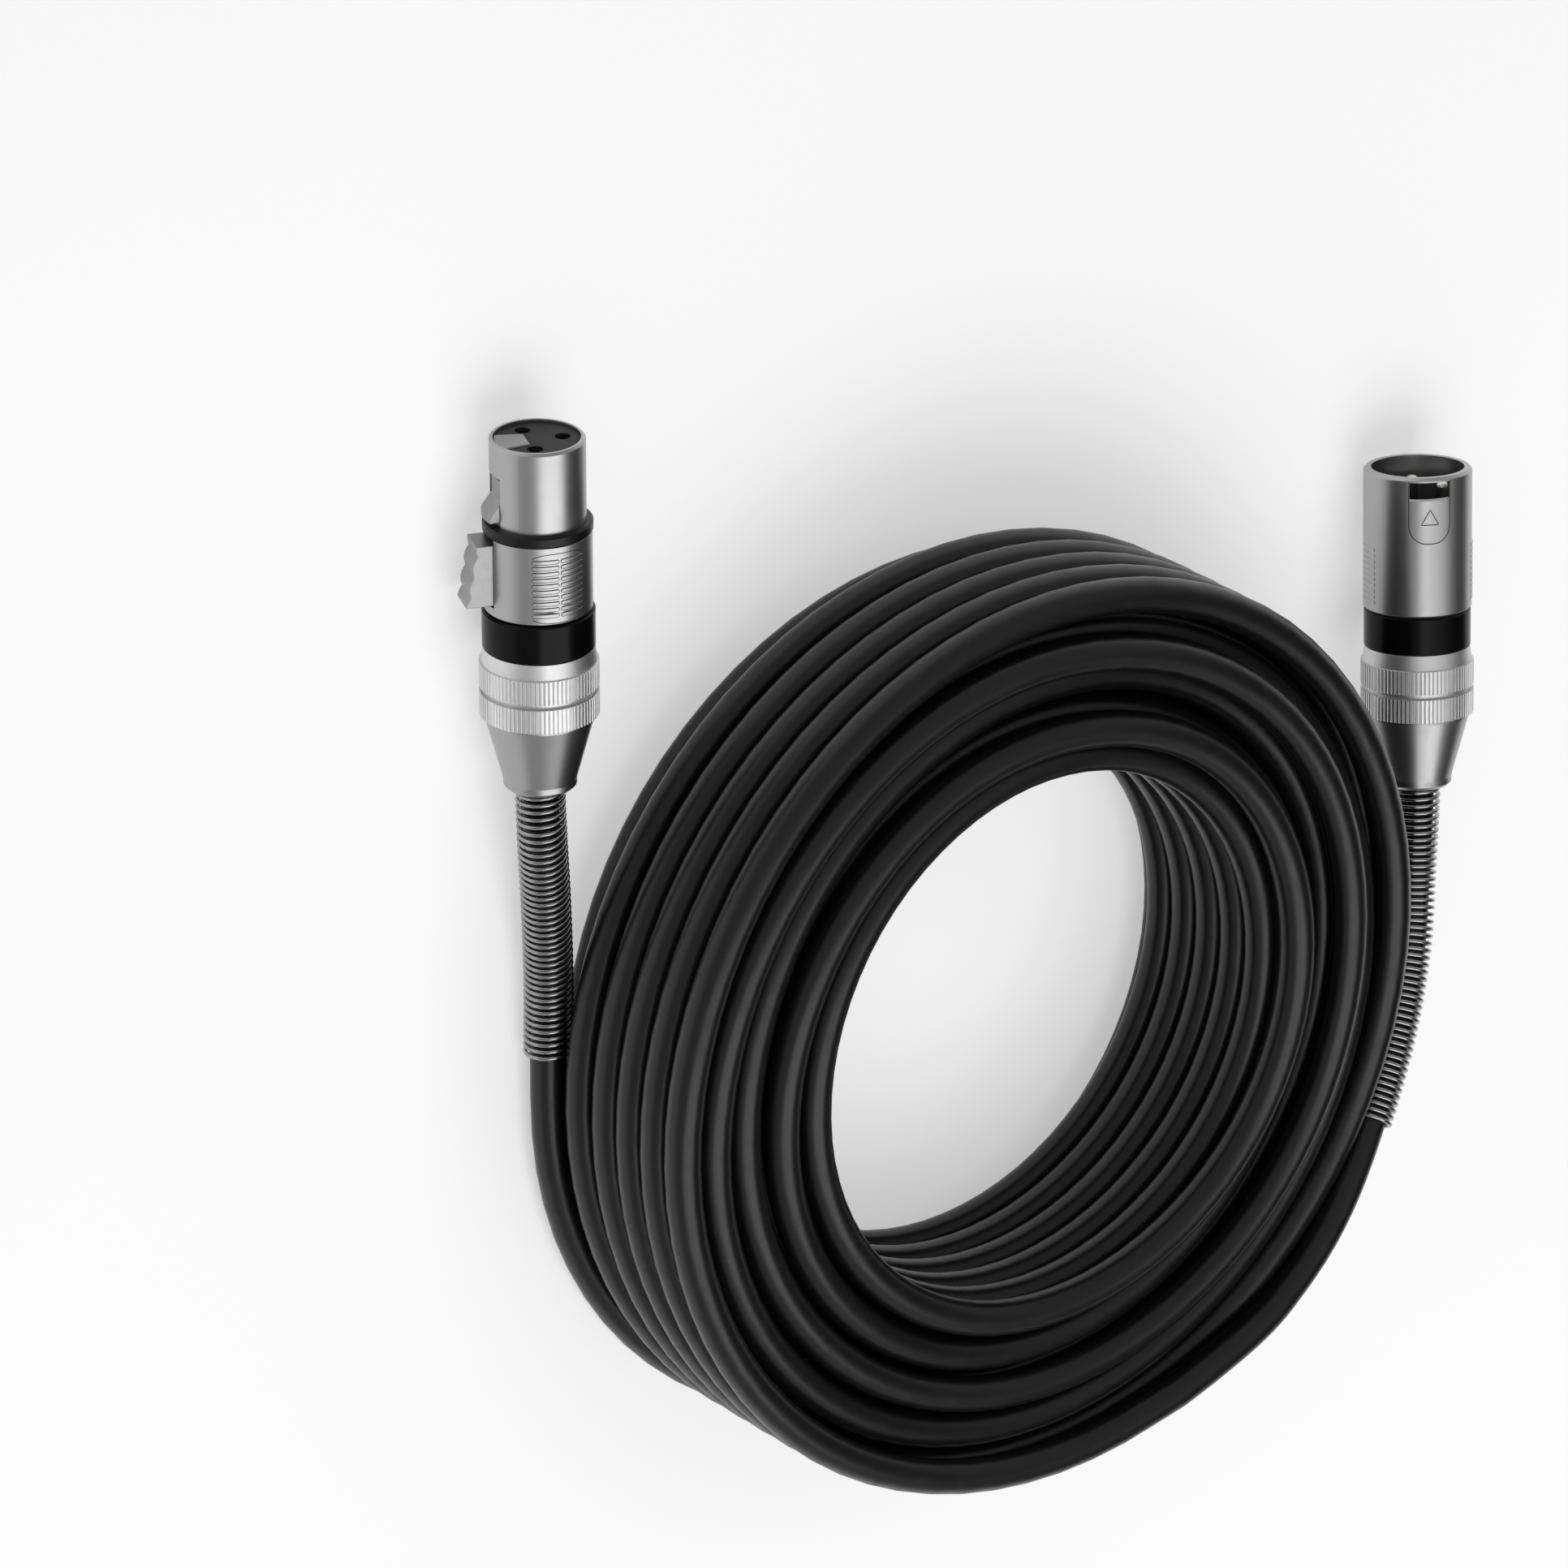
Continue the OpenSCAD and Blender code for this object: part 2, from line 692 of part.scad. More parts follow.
module plug_pin(a) {
    shoulder_z = plug_face_z + seat_gap;
    tip_z = plug_face_z + pin_len - pin_tip_r;
    color([0.86, 0.84, 0.78])
        rotate([0, 0, a])
            translate([pin_circle_r, 0, 0])
                rotate_extrude($fn = 36)
                    polygon(concat(
                        [[0, pin_rear_z], [pin_shank_r, pin_rear_z],
                            [pin_shank_r, shoulder_z], [pin_r, shoulder_z]],
                        [for (turn = [0 : 22.5 : 90])
                            [pin_r - pin_tip_r * (1 - cos(turn)), tip_z + pin_tip_r * sin(turn)]],
                        [[0, tip_z + pin_tip_r]]));
}

cable_coil();
coil_core();
socket_tail();
plug_tail();
socket_spring();
plug_spring();
socket_frame() socket_shell();
socket_frame() socket_gasket();
socket_frame() socket_insert();
for (k = [0 : 2])
    socket_frame() socket_contact(contact_angles[k]);
socket_frame() socket_latch();
socket_frame() socket_latch_pin();
socket_frame() code_ring();  // socket_code_ring
socket_frame() collar();  // socket_collar
socket_frame() boot();  // socket_boot
socket_frame() clamp();  // socket_clamp
socket_frame() wires(contact_rear_z);  // socket_wires
plug_frame() plug_shell();
plug_frame() plug_insert();
for (k = [0 : 2])
    plug_frame() plug_pin(contact_angles[k]);
plug_frame() code_ring();  // plug_code_ring
plug_frame() collar();  // plug_collar
plug_frame() boot();  // plug_boot
plug_frame() clamp();  // plug_clamp
plug_frame() wires(pin_rear_z);  // plug_wires
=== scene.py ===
import math

import bpy
from mathutils import Matrix, Vector


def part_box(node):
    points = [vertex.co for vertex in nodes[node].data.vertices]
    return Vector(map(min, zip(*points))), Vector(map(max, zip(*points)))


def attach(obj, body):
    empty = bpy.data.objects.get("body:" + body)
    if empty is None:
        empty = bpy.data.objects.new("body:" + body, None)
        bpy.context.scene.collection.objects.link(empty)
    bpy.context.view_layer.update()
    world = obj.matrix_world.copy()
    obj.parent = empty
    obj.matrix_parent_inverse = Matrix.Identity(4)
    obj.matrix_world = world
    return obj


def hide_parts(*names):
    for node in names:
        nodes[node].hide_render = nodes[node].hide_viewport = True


mm = 0.001
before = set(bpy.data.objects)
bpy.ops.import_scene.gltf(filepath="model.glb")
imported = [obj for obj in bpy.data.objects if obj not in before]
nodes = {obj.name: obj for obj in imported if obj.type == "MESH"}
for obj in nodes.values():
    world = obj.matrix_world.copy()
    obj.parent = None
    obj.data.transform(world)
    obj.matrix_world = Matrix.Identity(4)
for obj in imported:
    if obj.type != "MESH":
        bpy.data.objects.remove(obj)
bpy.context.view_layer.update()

coreLow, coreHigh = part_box("coil_core")
coilCentre = Vector(((coreLow.x + coreHigh.x) / 2, (coreLow.y + coreHigh.y) / 2, 0))


def fromCoil(x, y, z):
    # A place given in millimetres from the coil's centre on the floor.
    return coilCentre + Vector((x, y, z)) * mm


view = {
    "right": (0.7893, 0.0, 0.6140),
    "up": (0.2536, 0.9107, -0.3260),
    "aim": (-26.5, 40.7, 0.0),  # mm from the coil's centre, the middle of the view
    "frameWidth": 264.9 * mm,
    "lens": 250,  # mm, long enough that near and far strands look alike
    "sensor": 36,
    "clipEnd": 20,  # m
}


def makeCamera():
    right = Vector(view["right"]).normalized()
    up = Vector(view["up"]).normalized()
    back = right.cross(up)
    distance = view["frameWidth"] * view["lens"] / view["sensor"]
    data = bpy.data.cameras.new("camera")
    data.lens = view["lens"]
    data.sensor_width = view["sensor"]
    data.clip_end = view["clipEnd"]
    camera = bpy.data.objects.new("camera", data)
    bpy.context.scene.collection.objects.link(camera)
    turn = Matrix((right, up, back)).transposed().to_4x4()
    camera.matrix_world = Matrix.Translation(fromCoil(*view["aim"]) + back * distance) @ turn
    bpy.context.scene.camera = camera


makeCamera()
print("camera made")

# A connector's own frame: z runs from its boot's rear end to its mouth, x to its latch side.
connectors = {
    "socket": {"rear": (-85, 60.5, 9.9), "tilt": 0, "yaw": 0, "roll": 158},
    "plug": {"rear": (101, 11.5, 16.885), "tilt": 7.5, "yaw": 5, "roll": -118},
}


def connectorFrame(name):
    place = connectors[name]
    aside = Matrix.Rotation(math.radians(-place["yaw"]), 4, "Z")
    lean = Matrix.Rotation(math.radians(-90 - place["tilt"]), 4, "X")
    roll = Matrix.Rotation(math.radians(place["roll"]), 4, "Z")
    return Matrix.Translation(fromCoil(*place["rear"])) @ aside @ lean @ roll


cable = {
    "diameter": 6.2 * mm,
    "columnGap": 0.9 * mm,
    "coilRadius": 78.8 * mm,
    "length": 12.1,  # m
    "sides": 20,
    "ringsPerTurn": 72,
    "ringsPerLeg": 16,
    "easing": 0.05,  # turns over which a change of column or level is eased
    "insideBoot": 20 * mm,
}
# Turns made, column counted inward, level counted upward.
winding = [
    (0, -0.2, 0.3), (0.08, -0.12, 0), (0.5, 0.38, 0), (1, 0.96, 0), (3.45, 3.33, 0),
    (3.9, 3.95, 0), (4, 4, 0.05), (4.3, 4, 0.7), (9.3, 4, 5.7), (9.5, 3.8, 6),
    (9.68, 3.2, 5.95), (9.8, 3, 5.68), (14.4, 3, 1.08), (14.75, 2, 1.04), (19.5, 2, 5.77),
    (19.62, 1.6, 5.95), (19.8, 1, 5.65), (24.2, 1, 1), (24.5, 0.05, 1.03), (25, 0, 1.46),
    (25.4, 0, 1.99), (29.3, 0, 5.91),
]
socketTail = [(-80.54, 22.03, 5.6), (-82.58, 37.98, 7.8), (-84.6, 51.03, 9.7)]
plugTail = [
    (44.12, -68.83, 40.91), (54.19, -63.44, 39.68), (63.73, -55.4, 38.36),
    (72.43, -44.99, 36.08), (84.44, -29.72, 30.33), (93.28, -15.96, 24.33),
    (98.33, -2.77, 19.49),
]
columnStep = cable["diameter"] + cable["columnGap"]
lastTurn = winding[-1][0]
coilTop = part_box("cable_coil")[1].z
levelStep = (coilTop - cable["diameter"]) / winding[-1][2]  # the outer column ends on top


def planAt(turn, item):
    turn = min(max(turn, 0), lastTurn)
    for before, after in zip(winding, winding[1:]):
        if turn <= after[0]:
            share = (turn - before[0]) / (after[0] - before[0])
            return before[item] + share * (after[item] - before[item])
    return winding[-1][item]


def easedPlan(turn, item):
    steps = [k / 4 * cable["easing"] for k in range(-4, 5)]
    return sum(planAt(turn + step, item) for step in steps) / len(steps)


def coilPoint(turn):
    radius = cable["coilRadius"] - columnStep * easedPlan(turn, 1)
    angle = math.pi * (1 + 2 * turn)
    height = cable["diameter"] / 2 + levelStep * easedPlan(turn, 2)
    return coilCentre + Vector((radius * math.cos(angle), radius * math.sin(angle), height))


def smoothRoute(points, rings):
    # Catmull-Rom curve through the points; the first and last only steer its ends.
    route = []
    for a, b, c, d in zip(points, points[1:], points[2:], points[3:]):
        for k in range(rings):
            s = k / rings
            route.append(0.5 * (2 * b + s * (c - a) + s ** 2 * (2 * a - 5 * b + 4 * c - d)
                                + s ** 3 * (3 * b - a - 3 * c + d)))
    return route + [points[-2]]


def tailRoute(start, startWay, points, name, rings):
    turn = connectorFrame(name)
    way = (turn.to_3x3() @ Vector((0, 0, 1))).normalized()
    end = turn.translation
    inside = cable["insideBoot"]
    return smoothRoute([start - 2 * cable["diameter"] * startWay, start]
                       + [fromCoil(*p) for p in points]
                       + [end, end + inside * way, end + 2 * inside * way], rings)


def routeLength(route):
    return sum((b - a).length for a, b in zip(route, route[1:]))


def makeTube(name, route, radius, sides):
    # A round tube of quads whose rings turn no more than the route does, with closed ends.
    ways = [(route[min(k + 1, len(route) - 1)] - route[max(k - 1, 0)]).normalized()
            for k in range(len(route))]
    side = ways[0].orthogonal().normalized()
    corners, faces = [], []
    for place, way in zip(route, ways):
        side = (side - side.dot(way) * way).normalized()
        up = way.cross(side)
        for k in range(sides):
            angle = 2 * math.pi * k / sides
            corners.append(place + radius * (math.cos(angle) * side + math.sin(angle) * up))
    for ring in range(len(route) - 1):
        for k in range(sides):
            a, b = ring * sides + k, ring * sides + (k + 1) % sides
            faces.append((a, b, b + sides, a + sides))
    last = (len(route) - 1) * sides
    faces += [tuple(range(sides))[::-1], tuple(range(last, last + sides))]
    data = bpy.data.meshes.new(name)
    data.from_pydata(corners, [], faces)
    data.shade_smooth()
    piece = bpy.data.objects.new(name, data)
    bpy.context.scene.collection.objects.link(piece)
    return piece


coilTurns = [coilPoint(k / cable["ringsPerTurn"])
             for k in range(int(lastTurn * cable["ringsPerTurn"]) + 1)]
startWay = Vector((0, 1, 0))
endWay = coilTurns[-1] - coilTurns[-2]
endWay = Vector((endWay.x, endWay.y, 0)).normalized()
socketRoute = tailRoute(coilTurns[0] + cable["diameter"] * startWay, startWay, socketTail,
                        "socket", cable["ringsPerLeg"])
plugRoute = tailRoute(coilTurns[-1] + cable["diameter"] * endWay, endWay, plugTail,
                      "plug", cable["ringsPerLeg"])
cableRoute = socketRoute[::-1] + coilTurns + plugRoute

cablePiece = makeTube("cable", cableRoute, cable["diameter"] / 2, cable["sides"])
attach(cablePiece, "cable_set")
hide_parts("cable_coil", "coil_core", "socket_tail", "plug_tail")
print("cable made, length", round(routeLength(cableRoute), 3))

spring = {
    "wire": 0.75 * mm,
    "pitch": 1.25 * mm,
    "gap": 0.4 * mm,
    "fromBootEnd": 0.7 * mm,
    "curls": {"socket": 43, "plug": 50},
    "ringsPerCurl": 20,
    "sides": 10,
}


def pointAlong(route, lengths, s):
    for k in range(len(route) - 1):
        if s <= lengths[k + 1]:
            share = (s - lengths[k]) / (lengths[k + 1] - lengths[k])
            return route[k].lerp(route[k + 1], share)
    return route[-1]


def springRoute(route, curls):
    lengths = [0]
    for a, b in zip(route, route[1:]):
        lengths.append(lengths[-1] + (b - a).length)
    start = lengths[-1] - cable["insideBoot"] + spring["fromBootEnd"]
    radius = cable["diameter"] / 2 + spring["gap"] + spring["wire"] / 2
    rings = spring["ringsPerCurl"]
    points = []
    for k in range(curls * rings + 1):
        s = start - k * spring["pitch"] / rings
        way = pointAlong(route, lengths, s + mm) - pointAlong(route, lengths, s - mm)
        way.normalize()
        side = way.cross(Vector((0, 0, 1))).normalized()
        up = side.cross(way)
        angle = 2 * math.pi * k / rings
        points.append(pointAlong(route, lengths, s)
                      + radius * (math.cos(angle) * side + math.sin(angle) * up))
    return points


springPieces = {}
for name, route in (("socket", socketRoute), ("plug", plugRoute)):
    piece = makeTube(name + "Spring", springRoute(route, spring["curls"][name]),
                     spring["wire"] / 2, spring["sides"])
    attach(piece, "cable_set")
    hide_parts(name + "_spring")
    springPieces[name] = piece
print("springs made")


def addPiece(name, corners, faces):
    data = bpy.data.meshes.new(name)
    data.from_pydata(corners, [], faces)
    piece = bpy.data.objects.new(name, data)
    bpy.context.scene.collection.objects.link(piece)
    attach(piece, "cable_set")
    return piece


def roundedBox(width, height, corner, steps=5):
    # Outline of a box with rounded corners, counterclockwise round the middle.
    points = []
    for k, (sx, sy) in enumerate(((1, 1), (-1, 1), (-1, -1), (1, -1))):
        for step in range(steps + 1):
            angle = math.radians(90 * k + 90 * step / steps)
            points.append((sx * (width / 2 - corner) + corner * math.cos(angle),
                           sy * (height / 2 - corner) + corner * math.sin(angle)))
    return points


lineStep = 0.4  # mm, short enough to follow a round shell


def shortSteps(points, closed):
    # The same line with more points on it.
    steps = []
    for a, b in zip(points, points[1:] + points[:1] if closed else points[1:]):
        count = max(1, math.ceil(math.dist(a, b) / lineStep))
        steps += [(a[0] + (b[0] - a[0]) * k / count, a[1] + (b[1] - a[1]) * k / count)
                  for k in range(count)]
    return steps if closed else steps + [points[-1]]


def addLine(corners, faces, turn, radius, points, width, closed):
    # A thin strip laid on a round surface: points are (arc, z) in millimetres.
    points = shortSteps(points, closed)
    first = len(corners)
    count = len(points)
    for k in range(count):
        before = points[(k - 1) % count] if closed or k else points[k]
        after = points[(k + 1) % count] if closed or k < count - 1 else points[k]
        way = Vector((after[0] - before[0], after[1] - before[1])).normalized()
        aside = Vector((-way.y, way.x)) * width / 2
        for sign in (1, -1):
            arc, z = points[k][0] + sign * aside.x, points[k][1] + sign * aside.y
            angle = arc / radius
            corners.append(turn @ (Vector((radius * math.cos(angle), radius * math.sin(angle), z))
                                   * mm))
    for k in range(count if closed else count - 1):
        a, b = first + 2 * k, first + 2 * ((k + 1) % count)
        faces.append((a, a + 1, b + 1, b))


# Lengths in millimetres, heights from the rear end of the connector's boot.
grip = {
    "radius": 8.965,  # just outside the socket's body
    "middle": 99,  # degrees from the latch
    "arc": 28,  # degrees that a rib spans
    "gap": 3,  # degrees between two ribs
    "first": 33.65,
    "pitch": 1.05,
    "ribs": 10,
    "ribWidth": 0.55,
    "line": 0.13,
    "grow": 0.1,  # outline over the rib's own size
    "corner": 0.25,
    "bowGap": 0.35,
    "bowRise": 0.75,
    "bowSteps": 16,
}


def makeGripShadeLines():
    # Painted shade: fine dark outlines round each finger rib, and a curved one past the first and
    # last, where the grooves at the ribs' feet lie in shade.
    corners, faces = [], []
    turn = connectorFrame("socket")
    radius = grip["radius"]
    half = math.radians(grip["arc"]) * radius
    for side in (-1, 1):
        for part in (-1, 1):
            middle = math.radians(side * grip["middle"]
                                  + part * (grip["arc"] + grip["gap"]) / 2) * radius
            for k in range(grip["ribs"]):
                z = grip["first"] + k * grip["pitch"] + grip["ribWidth"] / 2
                box = roundedBox(half + grip["grow"], grip["ribWidth"] + grip["grow"],
                                 grip["corner"])
                addLine(corners, faces, turn, radius,
                        [(middle + x, z + y) for x, y in box], grip["line"], True)
        whole = math.radians(2 * grip["arc"] + grip["gap"]) * radius
        middle = math.radians(side * grip["middle"]) * radius
        lastEdge = grip["first"] + (grip["ribs"] - 1) * grip["pitch"] + grip["ribWidth"]
        for end, sign in ((grip["first"], -1), (lastEdge, 1)):
            bow = []
            for k in range(grip["bowSteps"] + 1):
                share = k / grip["bowSteps"]
                rise = grip["bowRise"] * (1 - (2 * share - 1) ** 4)
                bow.append((middle + whole * (share - 0.5),
                            end + sign * (grip["bowGap"] + rise)))
            addLine(corners, faces, turn, radius, bow, grip["line"], False)
    return addPiece("gripShadeLines", corners, faces)


tongue = {
    "radius": 9.52,  # just outside the plug's shell
    "width": 7.5,
    "top": 56.55,
    "bottom": 45.5,
    "corner": 3.2,
    "cornerSteps": 9,
    "line": 0.16,
    "markWidth": 3.1,
    "markLow": 48.9,
    "markHigh": 51.6,
}


def makeTongueShadeLines():
    # Painted shade: dark strips along the gap round the inset tongue at the plug's window, and
    # along the arrow mark below the window.
    corners, faces = [], []
    turn = connectorFrame("plug")
    half, corner, steps = tongue["width"] / 2, tongue["corner"], tongue["cornerSteps"]
    angles = [math.radians(90 * k / steps) for k in range(steps + 1)]
    left = [(-half + corner - corner * math.cos(angle),
             tongue["bottom"] + corner - corner * math.sin(angle)) for angle in angles]
    outline = ([(-half, tongue["top"])] + left + [(-x, z) for x, z in left[::-1]]
               + [(half, tongue["top"])])
    addLine(corners, faces, turn, tongue["radius"], outline, tongue["line"], False)
    side = tongue["markWidth"] / 2
    arrow = [(-side, tongue["markLow"]), (side, tongue["markLow"]), (0, tongue["markHigh"])]
    addLine(corners, faces, turn, tongue["radius"], arrow, tongue["line"], True)
    return addPiece("tongueShadeLines", corners, faces)


guide = {
    "low": 61.2,
    "high": 61.72,  # stands a little above the insert's face
    "rimRadius": 7.05,
    "rimWidth": 6.2,
    "rimSteps": 8,
    "innerRadius": 1.7,
    "innerWidth": 4.4,
    "edge": 0.15,
}


def makeLatchGuide():
    # The pale wedge that covers the latch's channel in the socket's face.
    turn = connectorFrame("socket")
    rim, inner = guide["rimWidth"] / 2, guide["innerWidth"] / 2
    outline = [(guide["innerRadius"], inner), (guide["innerRadius"], -inner)]
    for k in range(guide["rimSteps"] + 1):
        y = rim * (2 * k / guide["rimSteps"] - 1)
        outline.append((math.sqrt(guide["rimRadius"] ** 2 - y * y), y))
    count = len(outline)
    middle = Vector((sum(p[0] for p in outline) / count, 0))
    corners, faces = [], []
    for z, inset in ((guide["low"], 0), (guide["high"] - guide["edge"], 0),
                     (guide["high"], guide["edge"])):
        for x, y in outline:
            away = (Vector((x, y)) - middle).normalized() * inset
            corners.append(turn @ (Vector((x - away.x, y - away.y, z)) * mm))
    for level in (0, count):
        for k in range(count):
            a, b = level + k, level + (k + 1) % count
            faces.append((a, b, b + count, a + count))
    faces.append(tuple(range(2 * count, 3 * count)))
    faces.append(tuple(range(count))[::-1])
    return addPiece("latchGuide", corners, faces)


# The dark grip and tongue strips are painted shade along grooves and gaps; the latch guide is a
# real part.
gripShadeLines, tongueShadeLines, latchGuide = makeGripShadeLines(), makeTongueShadeLines(), makeLatchGuide()
print("shell details made")


def makeGroup(name, ins, outs):
    group = bpy.data.node_groups.new(name, "ShaderNodeTree")
    for label, kind, value in ins:
        socket = group.interface.new_socket(label, in_out="INPUT", socket_type=kind)
        if value is not None:
            socket.default_value = value
    for label, kind in outs:
        group.interface.new_socket(label, in_out="OUTPUT", socket_type=kind)
    return group, group.nodes.new("NodeGroupInput"), group.nodes.new("NodeGroupOutput")


def addNode(tree, kind, inputs=None, **settings):
    node = tree.nodes.new(kind)
    for key, value in settings.items():
        setattr(node, key, value)
    for key, value in (inputs or {}).items():
        if isinstance(value, bpy.types.NodeSocket):
            tree.links.new(value, node.inputs[key])
        else:
            node.inputs[key].default_value = value
    return node


# How wear shows, and the painted highlight along rounded edges, in every finish that has them.
wearAndEdgeHighlight = {
    "markScale": 3,  # handling marks to one patch of grain
    "markCoverage": 0.25,
    "markRange": (0.75, 0.8),
    "edgeRange": (0.998, 0.93),  # cosine between the softened and the flat normal
    "edgeSamples": 4,
}


def makeGrain():
    group, start, end = makeGroup(
        "surfaceGrain",
        [("Vector", "NodeSocketVector", None), ("Scale", "NodeSocketFloat", 2000.0),
         ("Patch Scale", "NodeSocketFloat", 60.0)],
        [("Height", "NodeSocketFloat"), ("Patches", "NodeSocketFloat")])
    fine = addNode(group, "ShaderNodeTexNoise", {"Vector": start.outputs["Vector"],
                   "Scale": start.outputs["Scale"], "Detail": 3.0, "Roughness": 0.6})
    broad = addNode(group, "ShaderNodeTexNoise", {"Vector": start.outputs["Vector"],
                    "Scale": start.outputs["Patch Scale"], "Detail": 4.0, "Roughness": 0.55})
    group.links.new(fine.outputs["Fac"], end.inputs["Height"])
    group.links.new(broad.outputs["Fac"], end.inputs["Patches"])
    return group


def makeTurningLines():
    group, start, end = makeGroup(
        "turningLines",
        [("Vector", "NodeSocketVector", None), ("Axis", "NodeSocketVector", None),
         ("Lines Per Metre", "NodeSocketFloat", 3000.0)],
        [("Height", "NodeSocketFloat")])
    along = addNode(group, "ShaderNodeVectorMath", {0: start.outputs["Vector"],
                    1: start.outputs["Axis"]}, operation="DOT_PRODUCT")
    scaled = addNode(group, "ShaderNodeMath", {0: along.outputs["Value"],
                     1: start.outputs["Lines Per Metre"]}, operation="MULTIPLY")
    lines = addNode(group, "ShaderNodeTexNoise", {"W": scaled.outputs["Value"], "Scale": 1.0,
                    "Detail": 2.0}, noise_dimensions="1D")
    group.links.new(lines.outputs["Fac"], end.inputs["Height"])
    return group


def makeBandMask():
    # White past a given height along an axis.
    group, start, end = makeGroup(
        "bandMask",
        [("Vector", "NodeSocketVector", None), ("Axis", "NodeSocketVector", None),
         ("Height", "NodeSocketFloat", 0.0)],
        [("Mask", "NodeSocketFloat")])
    along = addNode(group, "ShaderNodeVectorMath", {0: start.outputs["Vector"],
                    1: start.outputs["Axis"]}, operation="DOT_PRODUCT")
    past = addNode(group, "ShaderNodeMath", {0: along.outputs["Value"],
                   1: start.outputs["Height"]}, operation="GREATER_THAN")
    group.links.new(past.outputs["Value"], end.inputs["Mask"])
    return group


def makeHandlingMarks():
    group, start, end = makeGroup(
        "handlingMarks",
        [("Vector", "NodeSocketVector", None), ("Scale", "NodeSocketFloat", 300.0),
         ("Coverage", "NodeSocketFloat", 0.3)],
        [("Mask", "NodeSocketFloat")])
    spread = addNode(group, "ShaderNodeTexNoise", {"Vector": start.outputs["Vector"],
                     "Scale": start.outputs["Scale"], "Detail": 5.0, "Distortion": 1.2})
    lowest, highest = wearAndEdgeHighlight["markRange"]
    low = addNode(group, "ShaderNodeMath", {0: lowest, 1: start.outputs["Coverage"]},
                  operation="SUBTRACT")
    mask = addNode(group, "ShaderNodeMapRange", {"Value": spread.outputs["Fac"],
                   "From Min": low.outputs["Value"], "From Max": highest})
    group.links.new(mask.outputs["Result"], end.inputs["Mask"])
    return group


def makeEdgeHighlightAndWear():
    # White where a softened edge turns away from the flat faces beside it: the mask for a painted
    # highlight and wear along edges.
    group, start, end = makeGroup(
        "edgeHighlightAndWear",
        [("Rounded", "NodeSocketVector", None), ("Normal", "NodeSocketVector", None),
         ("Breakup", "NodeSocketFloat", 0.5)],
        [("Mask", "NodeSocketFloat")])
    same = addNode(group, "ShaderNodeVectorMath", {0: start.outputs["Rounded"],
                   1: start.outputs["Normal"]}, operation="DOT_PRODUCT")
    flat, turned = wearAndEdgeHighlight["edgeRange"]
    edge = addNode(group, "ShaderNodeMapRange", {"Value": same.outputs["Value"],
                   "From Min": flat, "From Max": turned})
    mask = addNode(group, "ShaderNodeMath", {0: edge.outputs["Result"],
                   1: start.outputs["Breakup"]}, operation="MULTIPLY")
    group.links.new(mask.outputs["Value"], end.inputs["Mask"])
    return group


grain, turningLines, bandMask = makeGrain(), makeTurningLines(), makeBandMask()
handlingMarks, edgeHighlightAndWear = makeHandlingMarks(), makeEdgeHighlightAndWear()
